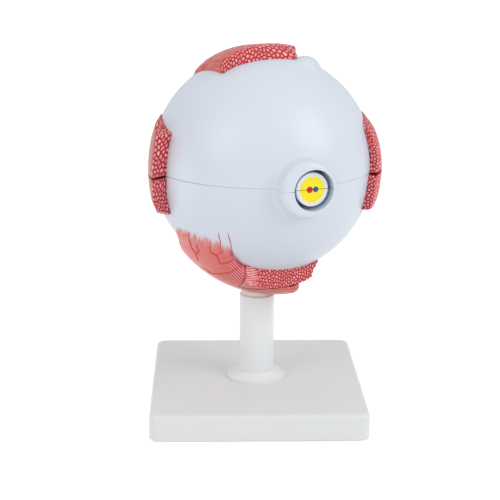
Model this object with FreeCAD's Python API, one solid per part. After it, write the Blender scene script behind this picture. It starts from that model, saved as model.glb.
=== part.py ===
import FreeCAD, Part
import math
import os

# A left eye, about five times life size, that comes apart on a stand. Millimetres.
# Origin: centre of the underside, on the table. +Z is up, +Y the way the eye looks, +X
# towards the nose. Pieces of the eye are made about the ball's centre and raised at the end.

V = FreeCAD.Vector
X, Y, Z = V(1, 0, 0), V(0, 1, 0), V(0, 0, 1)
ORIGIN = V(0, 0, 0)

# ---- Stand ----
BASE_SIDE = 120.0
BASE_HEIGHT = 15.5
BASE_WALL = 3.0
BASE_CORNER_R = 5.5
BASE_EDGE_R = 2.7
RIM_LIFT = 1.0          # the plate's rim stays this far off the table
PAD_THICKNESS = 2.5
PAD_GAP = 0.2           # between the pad and the plate's rim
RIB_THICKNESS = 2.0
BOSS_R = 13.0
POST_R = 10.0
POST_LENGTH = 50.4
FLANGE_R = 17.0
FLANGE_EDGE = 1.4       # height of the flange's upright edge
FLANGE_HEIGHT = 4.4
SCREW_R = 3.0
SCREW_REACH = 22.0      # length of screw inside the post
SCREW_HEAD_R = 4.8
SCREW_HEAD_HEIGHT = 3.6
SCREW_CLEARANCE = 0.3
WASHER_R = 5.6
WASHER_THICKNESS = 0.8
HEAD_GAP = 1.1          # between the pad and the screw's head
SLOT_WIDTH = 1.2
SLOT_DEPTH = 1.4
HOLE_SPARE = 2.0        # how much deeper the post's screw hole is than the screw
POST_CHAMFER = 0.6
SPIGOT_CHAMFER = 1.0
SPIGOT_R = 6.0
SPIGOT_SEAT = 12.0      # length of spigot pressed into the post
RUNNING_GAP = 0.05      # radial, between the spigot and its socket

# ---- Ball and its shells ----
SCLERA_R = 61.7
SCLERA_WALL = 4.2
CHOROID_WALL = 2.0
RETINA_WALL = 1.1
VITREOUS_WALL = 2.0
SHELL_GAP = 0.4         # between pieces that lift out of each other
PRESS_GAP = 0.02        # radial, round pieces that are pressed or glued in
SEAM_WIDTH = 0.3        # open line round the seam
SEAM_DEPTH = 0.8
STACK_HEIGHT = 13.3     # from the post's top to the lowest point of the sclera
BALL_OFFSET = 2.2       # the ball's centre stands this far to the nose side of the post
SOCKET_R = 9.0
SOCKET_CAP = 2.0
SOCKET_END_GAP = 0.5
TURNING_GAP = 0.4       # between the post's top and the muscle stubs that turn over it
PIN_R = 1.2
PIN_SEAT = 5.0
PIN_HEIGHT = 4.0
PIN_CLEARANCE = 0.08
PIN_ANGLES = (35.0, 145.0, 215.0, 325.0)

# ---- Front of the eye ----
CORNEA_R = 28.0         # radius of the opening that the cornea fills
CORNEA_CURVE_R = 38.5
CORNEA_WALL = 2.5
CORNEA_GAP = 0.3
CORNEA_FLANGE = 4.3     # how far the flange reaches behind the sclera
FLANGE_WALL = 1.8
IRIS_SETBACK = 12.0     # from the cornea's rim back to the front of the iris
IRIS_WALL = 1.5
PUPIL_R = 10.0
CILIARY_LENGTH = 13.2
CILIARY_BORE_R = 25.5
CILIARY_STRAIGHT = 6.5  # length of its bore before it widens
CILIARY_FOOT_R = 44.0
VITREOUS_SETBACK = 0.8  # vitreous face behind the ciliary body
LENS_R = 23.0
LENS_THICKNESS = 20.0
LENS_FRONT_R = 51.0
LENS_BACK_R = 31.0
LENS_GAP = 1.5          # lens to iris
LENS_SEAT_GAP = 0.3     # lens to vitreous body

# ---- Optic nerve ----
NERVE_ANGLE = 19.7      # from the back pole towards the nose
NERVE_RECESS = 2.8      # the nerve ends this far inside the collar's mouth
COLLAR_ANGLE = 17.8     # the collar's thick side is turned to the back pole
COLLAR_STUB = 8.3       # how far the collar stands out of the ball
COLLAR_R = 15.0
COLLAR_BORE_R = 10.8
COLLAR_FILLET = 4.0
COLLAR_EDGE_R = 3.0
COLLAR_SINK = 0.05      # the fillet's root lies this far inside the ball
SHEATH_R = 8.7
CORE_R = 6.8
ARTERY_R = 1.7
ARTERY_PLACE = -1.35    # from the nerve's axis, along the seam
VEIN_R = 1.55
VEIN_PLACE = 1.95

# ---- Eye muscles ----
# Outlines and belly spheres are in radii of the sclera, so they stay on the ball. A side
# outline is (back, up), seen square to the cut; a plan outline is (x, y), seen from above.
# Each has the corners behind the insertion, and the insertion's curve as three points.
SHEET_THICKNESS = 1.5
TENDON_HEIGHT = 2.8     # how far the tendon stands out of the ball
LATERAL_ANGLE = 48.0    # the side stubs are cut square to these headings
LATERAL_BELLY_RATIOS = ((0.224, -0.308, 0.011), 1.237)
LATERAL_CORNER_RATIOS = ((-0.563, -0.43), (-0.266, -0.355), (-0.266, 0.367), (-0.634, 0.461))
LATERAL_INSERTION_RATIOS = ((-0.877, 0.44), (-0.976, 0.0), (-0.888, -0.405))
MEDIAL_ANGLE = -34.0
MEDIAL_BELLY_RATIOS = ((0.193, -0.074, -0.012), 0.878)
MEDIAL_CORNER_RATIOS = ((-0.46, -0.37), (-0.167, -0.332), (-0.167, 0.407), (-0.464, 0.494))
MEDIAL_INSERTION_RATIOS = ((-0.845, 0.42), (-0.952, 0.0), (-0.848, -0.40))
SUPERIOR_BELLY_RATIOS = ((0.026, -0.091, 0.103), 0.989)
SUPERIOR_CORNER_RATIOS = ((-0.64, 0.08), (-0.37, -0.373), (0.263, -0.083), (0.30, 0.13))
SUPERIOR_INSERTION_RATIOS = ((0.21, 0.39), (-0.19, 0.47), (-0.55, 0.28))
INFERIOR_BELLY_RATIOS = ((0.007, -0.10, -0.133), 0.976)
INFERIOR_CORNER_RATIOS = ((-0.26, -0.13), (-0.16, -0.638), (0.498, -0.334), (0.45, 0.08))
INFERIOR_INSERTION_RATIOS = ((0.32, 0.42), (-0.02, 0.54), (-0.34, 0.42))
INFERIOR_END_RATIOS = (0.505, -0.33, -0.80)     # its end on the nose side starts here,
INFERIOR_END_TURN = 24.8                        # square to the cut
INFERIOR_END_LEAN = 21.0                        # and drawn in as it goes down
OBLIQUE_BELLY_RATIOS = ((0.116, 0.12, -0.144), 1.08)
OBLIQUE_CORNER_RATIOS = ((-0.203, -0.648), (0.305, -0.413), (0.31, -0.16), (0.13, -0.02),
                         (-0.32, -0.065), (-0.73, -0.10))
OBLIQUE_INSERTION_RATIOS = ((-0.77, -0.43), (-0.52, -0.71), (-0.325, -0.785))
OBLIQUE_TOP_RATIO = -0.475    # keeps it below the lateral stub
TENDON_CORNER_RATIOS = ((0.16, -0.16), (0.36, -0.20), (0.60, 0.10), (0.56, 0.36), (0.06, 0.20))
TENDON_R = 8.5          # the tendon is a round band that runs over the ball
TENDON_TURN = 20.0      # from the line of sight towards the nose
TENDON_LEAN = 22.0      # from upright towards the nose

# ---- Values that follow ----
BASE_INSIDE = BASE_SIDE - 2 * BASE_WALL
HEAD_Z = PAD_THICKNESS + HEAD_GAP
SCREW_SEAT_Z = HEAD_Z + SCREW_HEAD_HEIGHT
SHOULDER_Z = SCREW_SEAT_Z + WASHER_THICKNESS
POST_TOP = BASE_HEIGHT + POST_LENGTH
EYE_CENTRE_Z = POST_TOP + STACK_HEIGHT + SCLERA_R
SCLERA_IN = SCLERA_R - SCLERA_WALL
CHOROID_R = SCLERA_IN - SHELL_GAP
CHOROID_IN = CHOROID_R - CHOROID_WALL
RETINA_IN = CHOROID_IN - RETINA_WALL
VITREOUS_R = RETINA_IN - SHELL_GAP
SOCKET_FOOT = -(SCLERA_R + STACK_HEIGHT)
CORNEA_RIM_Y = math.sqrt(SCLERA_R**2 - CORNEA_R**2)
IRIS_FRONT = CORNEA_RIM_Y - IRIS_SETBACK
IRIS_BACK = IRIS_FRONT - IRIS_WALL
CILIARY_BACK = IRIS_BACK - CILIARY_LENGTH
VITREOUS_FACE = CILIARY_BACK - VITREOUS_SETBACK
LENS_FRONT = IRIS_BACK - LENS_GAP
LENS_BACK = LENS_FRONT - LENS_THICKNESS
COLLAR_END = SCLERA_R + COLLAR_STUB
NERVE_END = COLLAR_END - NERVE_RECESS
FAR = 3 * SCLERA_R      # longer than anything it cuts
TOUCH = 0.01            # an edge this near a level counts as lying on it


def heading(degrees):
    """Level direction, turned from the back pole towards the nose."""
    a = math.radians(degrees)
    return V(math.sin(a), -math.cos(a), 0)


NERVE_AXIS = heading(NERVE_ANGLE)
NERVE_SIDE = NERVE_AXIS.cross(Z).negative()


def ball(radius, centre=ORIGIN):
    return Part.makeSphere(radius, centre)


def rod(radius, start, direction, length):
    return Part.makeCylinder(radius, length, start, direction)


def upright(radius, low, high, x=0.0, y=0.0):
    return rod(radius, V(x, y, low), Z, high - low)


def on_post_axis(radius, low, high):
    """Upright cylinder on the post's axis, in a piece made about the ball's centre."""
    return upright(radius, low, high, -BALL_OFFSET)


def behind(y):
    """The space behind the plane across the line of sight at y."""
    return Part.makeBox(2 * FAR, FAR + y, 2 * FAR, V(-FAR, -FAR, -FAR))


def half_space(upper):
    return Part.makeBox(2 * FAR, 2 * FAR, FAR, V(-FAR, -FAR, 0 if upper else -FAR))


def raised(shape):
    """Move a piece made about the ball's centre to its place on the stand."""
    shape.translate(V(BALL_OFFSET, 0, EYE_CENTRE_Z))
    return shape


def arc_height(radius, offset):
    """Distance from a circle's centre to its chord at this offset."""
    return math.sqrt(radius**2 - offset**2)


def arc(start, middle, end):
    return Part.Arc(start, middle, end).toShape()


def line(start, end):
    return Part.makeLine(start, end)


def spun(edges, axis):
    """Solid made by turning a closed outline about an axis through the ball's centre."""
    return Part.Face(Part.Wire(Part.__sortEdges__(edges))).revolve(ORIGIN, axis, 360)


def on_circle(centre_y, radius, offset):
    """Point of a circle centred on the line of sight, on its front side."""
    return V(offset, centre_y + arc_height(radius, offset), 0)


# ---- Stand ----

def rounded_slab(side, low, high, corner_r):
    slab = Part.makeBox(side, side, high - low, V(-side / 2, -side / 2, low))
    upright_edges = [e for e in slab.Edges if abs(e.tangentAt(e.FirstParameter).z) > 0.9]
    return slab.makeFillet(corner_r, upright_edges)


def base_plate():
    plate = rounded_slab(BASE_SIDE, RIM_LIFT, BASE_HEIGHT, BASE_CORNER_R)
    top_edges = [e for e in plate.Edges if e.BoundBox.ZMin > BASE_HEIGHT - TOUCH]
    plate = plate.makeFillet(BASE_EDGE_R, top_edges)
    hollow_top = BASE_HEIGHT - BASE_WALL
    hollow = rounded_slab(BASE_INSIDE, 0, hollow_top, BASE_CORNER_R - BASE_WALL)
    rooted = BASE_WALL / 2      # how far the boss and ribs run into the walls they join
    boss = upright(BOSS_R, PAD_THICKNESS, hollow_top + rooted)
    rib = Part.makeBox(BASE_INSIDE + 2 * rooted, RIB_THICKNESS, hollow_top + rooted - PAD_THICKNESS)
    rib.translate(V(-BASE_INSIDE / 2 - rooted, -RIB_THICKNESS / 2, PAD_THICKNESS))
    cross_rib = rib.copy()
    cross_rib.rotate(ORIGIN, Z, 90)
    plate = plate.cut(hollow).multiFuse([boss, rib, cross_rib])
    counterbore = upright(WASHER_R + SCREW_CLEARANCE, 0, SHOULDER_Z)
    hole = upright(SCREW_R + SCREW_CLEARANCE, 0, POST_TOP)
    return plate.cut(counterbore).cut(hole).removeSplitter()


def base_pad():
    side = BASE_INSIDE - 2 * PAD_GAP
    return rounded_slab(side, 0, PAD_THICKNESS, BASE_CORNER_R - BASE_WALL)


def support_post():
    post = upright(POST_R, BASE_HEIGHT, POST_TOP)
    top_rim = [e for e in post.Edges if e.BoundBox.ZMin > POST_TOP - TOUCH]
    post = post.makeChamfer(POST_CHAMFER, top_rim)
    hole_top = BASE_HEIGHT + SCREW_REACH + HOLE_SPARE
    screw_hole = upright(SCREW_R + PRESS_GAP, BASE_HEIGHT, hole_top)
    spigot_hole = upright(SPIGOT_R + PRESS_GAP, POST_TOP - SPIGOT_SEAT, POST_TOP)
    return post.cut(screw_hole).cut(spigot_hole)


def post_flange():
    inside = POST_R + PRESS_GAP
    low, edge, top = BASE_HEIGHT, BASE_HEIGHT + FLANGE_EDGE, BASE_HEIGHT + FLANGE_HEIGHT
    slope_mid = V((2 * inside + FLANGE_R) / 3, 0, (2 * edge + top) / 3)
    return spun([
        line(V(inside, 0, low), V(FLANGE_R, 0, low)),
        line(V(FLANGE_R, 0, low), V(FLANGE_R, 0, edge)),
        arc(V(FLANGE_R, 0, edge), slope_mid, V(inside, 0, top)),
        line(V(inside, 0, top), V(inside, 0, low)),
    ], Z)


def post_washer():
    washer = upright(WASHER_R, SCREW_SEAT_Z, SHOULDER_Z)
    return washer.cut(upright(SCREW_R + SCREW_CLEARANCE, 0, SHOULDER_Z))


def post_screw():
    head = upright(SCREW_HEAD_R, HEAD_Z, SCREW_SEAT_Z)
    slot = Part.makeBox(2 * FAR, SLOT_WIDTH, SLOT_DEPTH, V(-FAR, -SLOT_WIDTH / 2, HEAD_Z))
    shank = upright(SCREW_R, SCREW_SEAT_Z, BASE_HEIGHT + SCREW_REACH)
    return head.cut(slot).fuse(shank)


def post_spigot():
    top = EYE_CENTRE_Z - SCLERA_IN - SOCKET_CAP - SOCKET_END_GAP
    spigot = upright(SPIGOT_R, POST_TOP - SPIGOT_SEAT, top)
    top_rim = [e for e in spigot.Edges if e.BoundBox.ZMin > top - TOUCH]
    return spigot.makeChamfer(SPIGOT_CHAMFER, top_rim)


# ---- Eye muscles ----

def outline_prism(corners, insertion, across, up, sweep):
    """Prism over an outline: straight sides through the corners, a curved insertion."""
    def place(pair):
        return (across * pair[0] + up * pair[1]) * SCLERA_R

    start, middle, end = (place(pair) for pair in insertion)
    path = [end] + [place(pair) for pair in corners] + [start]
    edges = [line(a, b) for a, b in zip(path, path[1:])] + [arc(start, middle, end)]
    return Part.Face(Part.Wire(edges)).extrude(sweep * FAR)


def stub(belly, prism):
    """Muscle that lies on the ball: a thin sheet that swells to its belly at the cut."""
    centre, radius = belly
    swelling = ball(radius * SCLERA_R, V(*centre) * SCLERA_R)
    outside = swelling.fuse(ball(SCLERA_R + SHEET_THICKNESS))
    return outside.common(prism).cut(ball(SCLERA_R))


def lateral_rectus():
    back = heading(LATERAL_ANGLE)
    prism = outline_prism(LATERAL_CORNER_RATIOS, LATERAL_INSERTION_RATIOS, back, Z, back.cross(Z))
    return stub(LATERAL_BELLY_RATIOS, prism)


def medial_rectus():
    back = heading(MEDIAL_ANGLE)
    prism = outline_prism(MEDIAL_CORNER_RATIOS, MEDIAL_INSERTION_RATIOS, back, Z, Z.cross(back))
    return stub(MEDIAL_BELLY_RATIOS, prism)


def superior_oblique_tendon():
    corners = [V(x, y, 0) * SCLERA_R for x, y in TENDON_CORNER_RATIOS]
    outline = Part.Face(Part.makePolygon(corners + corners[:1])).extrude(Z * FAR)
    ring = Part.makeTorus(SCLERA_R + TENDON_HEIGHT - TENDON_R, TENDON_R, ORIGIN, X)
    ring.rotate(ORIGIN, Z, -TENDON_TURN)
    ring.rotate(ORIGIN, Y, TENDON_LEAN)
    return ring.common(outline).cut(ball(SCLERA_R))


def superior_rectus():
    prism = outline_prism(SUPERIOR_CORNER_RATIOS, SUPERIOR_INSERTION_RATIOS, X, Y, Z)
    return stub(SUPERIOR_BELLY_RATIOS, prism).cut(superior_oblique_tendon())


def over_the_post(shape):
    """Clear a lower stub from the post that it turns over and from the socket bush."""
    too_low = half_space(False)
    too_low.translate(V(0, 0, SOCKET_FOOT + TURNING_GAP))
    return shape.cut(too_low).cut(on_post_axis(SOCKET_R + PRESS_GAP, SOCKET_FOOT, 0))


def inferior_rectus():
    prism = outline_prism(INFERIOR_CORNER_RATIOS, INFERIOR_INSERTION_RATIOS, X, Y, Z.negative())
    past_the_end = Part.makeBox(FAR, 2 * FAR, 2 * FAR, V(0, -FAR, -FAR))
    past_the_end.rotate(ORIGIN, Y, INFERIOR_END_LEAN)
    past_the_end.rotate(ORIGIN, Z, INFERIOR_END_TURN)
    past_the_end.translate(V(*INFERIOR_END_RATIOS) * SCLERA_R)
    return over_the_post(stub(INFERIOR_BELLY_RATIOS, prism).cut(past_the_end))


def inferior_oblique():
    prism = outline_prism(OBLIQUE_CORNER_RATIOS, OBLIQUE_INSERTION_RATIOS, X, Y, Z.negative())
    below_lateral = half_space(False)
    below_lateral.translate(V(0, 0, OBLIQUE_TOP_RATIO * SCLERA_R))
    whole = stub(OBLIQUE_BELLY_RATIOS, prism).common(below_lateral)
    return over_the_post(whole.cut(inferior_rectus()))


# ---- Sclera and cornea ----

def collar():
    """Solid sleeve round the nerve with a fillet at its root, made along -Y, then turned."""
    hub = COLLAR_R + COLLAR_FILLET
    reach = SCLERA_R + COLLAR_FILLET - COLLAR_SINK
    fillet_centre = V(hub, -arc_height(reach, hub), 0)
    to_ball = fillet_centre.negative().normalize()
    root = fillet_centre + to_ball * COLLAR_FILLET
    neck = V(COLLAR_R, fillet_centre.y, 0)
    waist = fillet_centre + (to_ball + V(-1, 0, 0)).normalize() * COLLAR_FILLET
    edge_centre = V(COLLAR_R - COLLAR_EDGE_R, -COLLAR_END + COLLAR_EDGE_R, 0)
    edge_start = edge_centre + X * COLLAR_EDGE_R
    edge_middle = edge_centre + V(1, -1, 0).normalize() * COLLAR_EDGE_R
    edge_end = edge_centre - Y * COLLAR_EDGE_R
    inner = V(0, -SCLERA_IN, 0)
    tip = V(0, -COLLAR_END, 0)
    sleeve = spun([
        line(inner, root), arc(root, waist, neck), line(neck, edge_start),
        arc(edge_start, edge_middle, edge_end), line(edge_end, tip), line(tip, inner),
    ], Y)
    sleeve.rotate(ORIGIN, Z, COLLAR_ANGLE)
    return sleeve


def seam_relief():
    """The open line that is left round the outside of the seam."""
    ring = upright(FAR, -SEAM_WIDTH / 2, SEAM_WIDTH / 2)
    return ring.cut(upright(SCLERA_R - SEAM_DEPTH, -SEAM_WIDTH / 2, SEAM_WIDTH / 2))


def halves(shape):
    """Lower and upper half of a piece that the seam splits."""
    relieved = shape.cut(seam_relief())
    return [relieved.common(half_space(upper)) for upper in (False, True)]


def sclera():
    whole = ball(SCLERA_R).fuse(collar()).cut(ball(SCLERA_IN))
    nerve_bore = rod(COLLAR_BORE_R, ORIGIN, NERVE_AXIS, FAR)
    cornea_opening = rod(CORNEA_R, ORIGIN, Y, FAR)
    return whole.cut(nerve_bore).cut(cornea_opening)


def pin_group(radius, low, high):
    circle_r = SCLERA_R - SCLERA_WALL / 2
    turns = [math.radians(a) for a in PIN_ANGLES]
    return [upright(radius, low, high, circle_r * math.cos(t), circle_r * math.sin(t)) for t in turns]


def locating_pins():
    return Part.makeCompound(pin_group(PIN_R, -PIN_SEAT, PIN_HEIGHT))


def socket_bush():
    bush = on_post_axis(SOCKET_R, SOCKET_FOOT, -SCLERA_IN)
    return bush.cut(on_post_axis(SPIGOT_R + RUNNING_GAP, SOCKET_FOOT, -SCLERA_IN - SOCKET_CAP))


def cornea():
    """Clear dome whose thin flange is glued behind the edge of its opening."""
    dome_y = CORNEA_RIM_Y - arc_height(CORNEA_CURVE_R, CORNEA_R)
    dome_in_r = CORNEA_CURVE_R - CORNEA_WALL
    flange_out_r = SCLERA_IN - CORNEA_GAP
    flange_in_r = flange_out_r - FLANGE_WALL
    rim_r = CORNEA_R - CORNEA_GAP
    throat_r = rim_r - CORNEA_WALL
    flange_r = rim_r + CORNEA_FLANGE

    def side(centre_y, radius, start, end):
        """Arc about the line of sight, and its two ends, from offset start to offset end."""
        points = [on_circle(centre_y, radius, r) for r in (start, (start + end) / 2, end)]
        return arc(*points), points[0], points[2]

    dome_out, apex_out, rim_front = side(dome_y, CORNEA_CURVE_R, 0, rim_r)
    flange_out, rim_back, flange_edge_out = side(0, flange_out_r, rim_r, flange_r)
    flange_in, flange_edge_in, throat_back = side(0, flange_in_r, flange_r, throat_r)
    dome_in, throat_front, apex_in = side(dome_y, dome_in_r, throat_r, 0)
    return spun([
        dome_out, line(rim_front, rim_back), flange_out, line(flange_edge_out, flange_edge_in),
        flange_in, line(throat_back, throat_front), dome_in, line(apex_in, apex_out),
    ], Y)


# ---- Choroid, retina and what they carry ----

def choroid():
    shell = ball(CHOROID_R).cut(ball(CHOROID_IN)).common(behind(IRIS_FRONT))
    return shell.cut(rod(CORE_R + PRESS_GAP, ORIGIN, NERVE_AXIS, FAR))


def retina():
    shell = ball(CHOROID_IN).cut(ball(RETINA_IN)).common(behind(CILIARY_BACK))
    return shell.cut(rod(CORE_R + PRESS_GAP, ORIGIN, NERVE_AXIS, FAR))


def ciliary_body():
    """Ring behind the iris whose bore widens towards the vitreous body."""
    straight_end = IRIS_BACK - CILIARY_STRAIGHT
    outside = rod(CHOROID_IN, V(0, CILIARY_BACK, 0), Y, CILIARY_LENGTH).common(ball(CHOROID_IN))
    bore = rod(CILIARY_BORE_R, ORIGIN, Y, FAR)
    mouth = Part.makeCone(CILIARY_FOOT_R, CILIARY_BORE_R, straight_end - CILIARY_BACK,
                          V(0, CILIARY_BACK, 0), Y)
    return outside.cut(bore).cut(mouth)


def iris():
    disc = rod(CHOROID_IN, V(0, IRIS_BACK, 0), Y, IRIS_WALL).common(ball(CHOROID_IN))
    return disc.cut(rod(PUPIL_R, ORIGIN, Y, FAR))


def nerve_rod(radius, place=0.0):
    return rod(radius, NERVE_SIDE * place, NERVE_AXIS, NERVE_END)


def nerve_sheath():
    return nerve_rod(SHEATH_R).cut(nerve_rod(CORE_R)).cut(ball(CHOROID_R))


def retinal_artery():
    return nerve_rod(ARTERY_R, ARTERY_PLACE).cut(ball(RETINA_IN))


def retinal_vein():
    return nerve_rod(VEIN_R, VEIN_PLACE).cut(ball(RETINA_IN))


def nerve_core():
    whole = nerve_rod(CORE_R).cut(nerve_rod(ARTERY_R, ARTERY_PLACE))
    return whole.cut(nerve_rod(VEIN_R, VEIN_PLACE)).cut(ball(RETINA_IN))


# ---- Clear pieces inside ----

def vitreous_body():
    """Hollow clear ball, flat at the front, with a hollow that seats the lens."""
    seat_r = LENS_BACK_R + LENS_SEAT_GAP
    seat_centre = V(0, LENS_BACK + LENS_BACK_R, 0)
    outside = ball(VITREOUS_R).common(behind(VITREOUS_FACE)).cut(ball(seat_r, seat_centre))
    inside = ball(VITREOUS_R - VITREOUS_WALL).common(behind(VITREOUS_FACE - VITREOUS_WALL))
    return outside.cut(inside.cut(ball(seat_r + VITREOUS_WALL, seat_centre)))


def lens():
    front_y = LENS_FRONT - LENS_FRONT_R
    back_y = LENS_BACK + LENS_BACK_R
    back = [V(r, back_y - arc_height(LENS_BACK_R, r), 0) for r in (0, LENS_R / 2, LENS_R)]
    front = [on_circle(front_y, LENS_FRONT_R, r) for r in (LENS_R, LENS_R / 2, 0)]
    return spun([arc(*back), line(back[-1], front[0]), arc(*front), line(front[-1], back[0])], Y)


# ---- Nodes ----

def make_nodes():
    nodes = {
        "base_plate": base_plate(),
        "base_pad": base_pad(),
        "support_post": support_post(),
        "post_flange": post_flange(),
        "post_washer": post_washer(),
        "post_screw": post_screw(),
        "post_spigot": post_spigot(),
    }
    eye = {
        "socket_bush": socket_bush(),
        "locating_pins": locating_pins(),
        "inferior_rectus": inferior_rectus(),
        "inferior_oblique": inferior_oblique(),
        "superior_rectus": superior_rectus(),
        "superior_oblique_tendon": superior_oblique_tendon(),
        "cornea": cornea(),
        "vitreous_body": vitreous_body(),
        "lens": lens(),
    }
    split = {
        "sclera": sclera(),
        "lateral_rectus": lateral_rectus(),
        "medial_rectus": medial_rectus(),
        "choroid": choroid(),
        "retina": retina(),
        "ciliary_body": ciliary_body(),
        "iris": iris(),
        "nerve_sheath": nerve_sheath(),
        "nerve_core": nerve_core(),
        "retinal_artery": retinal_artery(),
        "retinal_vein": retinal_vein(),
    }
    for name, whole in split.items():
        eye[name + "_lower"], eye[name + "_upper"] = halves(whole)
    socket_hole = on_post_axis(SOCKET_R + PRESS_GAP, SOCKET_FOOT, 0)
    pin_seats = pin_group(PIN_R + PRESS_GAP, -PIN_SEAT, 0)
    pin_holes = pin_group(PIN_R + PIN_CLEARANCE, 0, PIN_HEIGHT + SHELL_GAP)
    eye["sclera_lower"] = eye["sclera_lower"].cut([socket_hole] + pin_seats)
    eye["sclera_upper"] = eye["sclera_upper"].cut(pin_holes)
    nodes.update({name: raised(shape) for name, shape in eye.items()})
    return nodes


os.makedirs("parts", exist_ok=True)
for node, shape in make_nodes().items():
    shape.exportStep(f"parts/{node}.step")
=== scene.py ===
import math

import bmesh
import bpy
import numpy as np
from mathutils import Matrix, Vector, kdtree
from mathutils.bvhtree import BVHTree


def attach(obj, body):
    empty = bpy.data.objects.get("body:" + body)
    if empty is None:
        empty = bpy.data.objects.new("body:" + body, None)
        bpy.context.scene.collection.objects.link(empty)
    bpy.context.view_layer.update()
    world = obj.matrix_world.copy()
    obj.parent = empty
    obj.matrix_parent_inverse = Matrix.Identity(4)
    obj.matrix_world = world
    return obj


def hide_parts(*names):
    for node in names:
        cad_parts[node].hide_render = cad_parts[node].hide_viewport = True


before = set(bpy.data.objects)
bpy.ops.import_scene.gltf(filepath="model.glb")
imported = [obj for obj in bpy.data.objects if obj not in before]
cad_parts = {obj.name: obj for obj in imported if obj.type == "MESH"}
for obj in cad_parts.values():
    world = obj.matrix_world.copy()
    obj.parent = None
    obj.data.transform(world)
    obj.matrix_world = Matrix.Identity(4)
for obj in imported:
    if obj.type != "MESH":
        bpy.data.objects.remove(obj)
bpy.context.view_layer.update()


def direction(degrees):
    """Level direction, turned from the back pole of the eye towards the nose."""
    turn = math.radians(degrees)
    return np.array((math.sin(turn), -math.cos(turn), 0.0))


# ---- The eye ----
# Its lengths are in millimetres about the ball's centre, and MM turns them into metres.
# +Z is up, +Y the way the eye looks and +X towards the nose.
MM = 0.001
BALL_R = 61.7
CENTRE = Vector((2.2, 0, 140.9))
SCLERA_WALL = 4.2
SHELL_GAP = 0.4         # between the sclera and the choroid
CHOROID_WALL = 2.0
RETINA_WALL = 1.1
CHOROID_R = BALL_R - SCLERA_WALL - SHELL_GAP
RETINA_IN = CHOROID_R - CHOROID_WALL - RETINA_WALL
NERVE_AXIS = Vector(direction(19.7))
NERVE_FACE = 67.2       # from the ball's centre to the cut end of the nerve

# ---- Camera: 16 degrees down on the eye from behind it ----
CAMERA_PLACE = Vector((-0.0276, -0.6756, 0.2850))
CAMERA_TILT = math.radians(90 - 16.02)
CAMERA_YAW = math.radians(1.98)
CAMERA_ROLL = math.radians(0.502)
CAMERA_LENS = 89.4


def add(name, data):
    obj = bpy.data.objects.new(name, data)
    bpy.context.scene.collection.objects.link(obj)
    return obj


def make_camera():
    data = bpy.data.cameras.new("camera")
    data.lens = CAMERA_LENS
    camera = add("camera", data)
    turn = Matrix.Rotation(-CAMERA_YAW, 4, "Z") @ Matrix.Rotation(CAMERA_TILT, 4, "X")
    turn = turn @ Matrix.Rotation(CAMERA_ROLL, 4, "Z")
    camera.matrix_world = Matrix.Translation(CAMERA_PLACE) @ turn
    bpy.context.scene.camera = camera


# ---- Materials ----

def rgb(*levels):
    """Linear colour of an sRGB colour given from 0 to 255."""
    parts = [c / 255 for c in levels]
    return (*(c / 12.92 if c <= 0.04045 else ((c + 0.055) / 1.055) ** 2.4 for c in parts), 1.0)


WHITE = rgb(255, 255, 255)
BLACK = rgb(0, 0, 0)
SCLERA_LIGHT = rgb(214, 222, 232)
SCLERA_DARK = rgb(209, 217, 228)
PAINTED_LIGHT_PLACE = direction(-57.4) * BALL_R    # middle of painted light on the ball beside the lateral rectus, lifting the shade and red bounce that the muscle casts there
PAINTED_LIGHT_R = 15.0
BORE_R = 10.95          # of the hole round the nerve
ROOT_R = 12.2           # of the pale ring where the nerve leaves the choroid
NERVE_HEAD_R = 8.4      # of the pale disc where it enters the retina
FOVEA = Vector((0.03, -1.0, -0.04)).normalized()
MACULA_R = 5.0
FOVEA_R = 1.2
CILIARY_FOLDS = 72.0


class Nodes:
    """Short ways to add and join the nodes of a material or of the world."""

    def __init__(self, owner):
        owner.use_nodes = True
        self.tree = owner.node_tree

    def node(self, kind, settings=None, *values, **inputs):
        """New node with these settings, and inputs by their order or by their names."""
        made = self.tree.nodes.new("ShaderNode" + kind)
        for key, value in (settings or {}).items():
            setattr(made, key, value)
        for socket, value in zip(made.inputs, values):
            self.put(socket, value)
        for key, value in inputs.items():
            self.put(made.inputs[key.replace("_", " ")], value)
        return made

    def put(self, socket, value):
        if isinstance(value, bpy.types.NodeSocket):
            self.tree.links.new(value, socket)
        else:
            socket.default_value = value

    def value(self, factor, low, high):
        return self.node("MapRange", Value=factor, To_Min=low, To_Max=high).outputs["Result"]

    def math(self, operation, *values):
        return self.node("Math", {"operation": operation}, *values).outputs["Value"]


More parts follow.
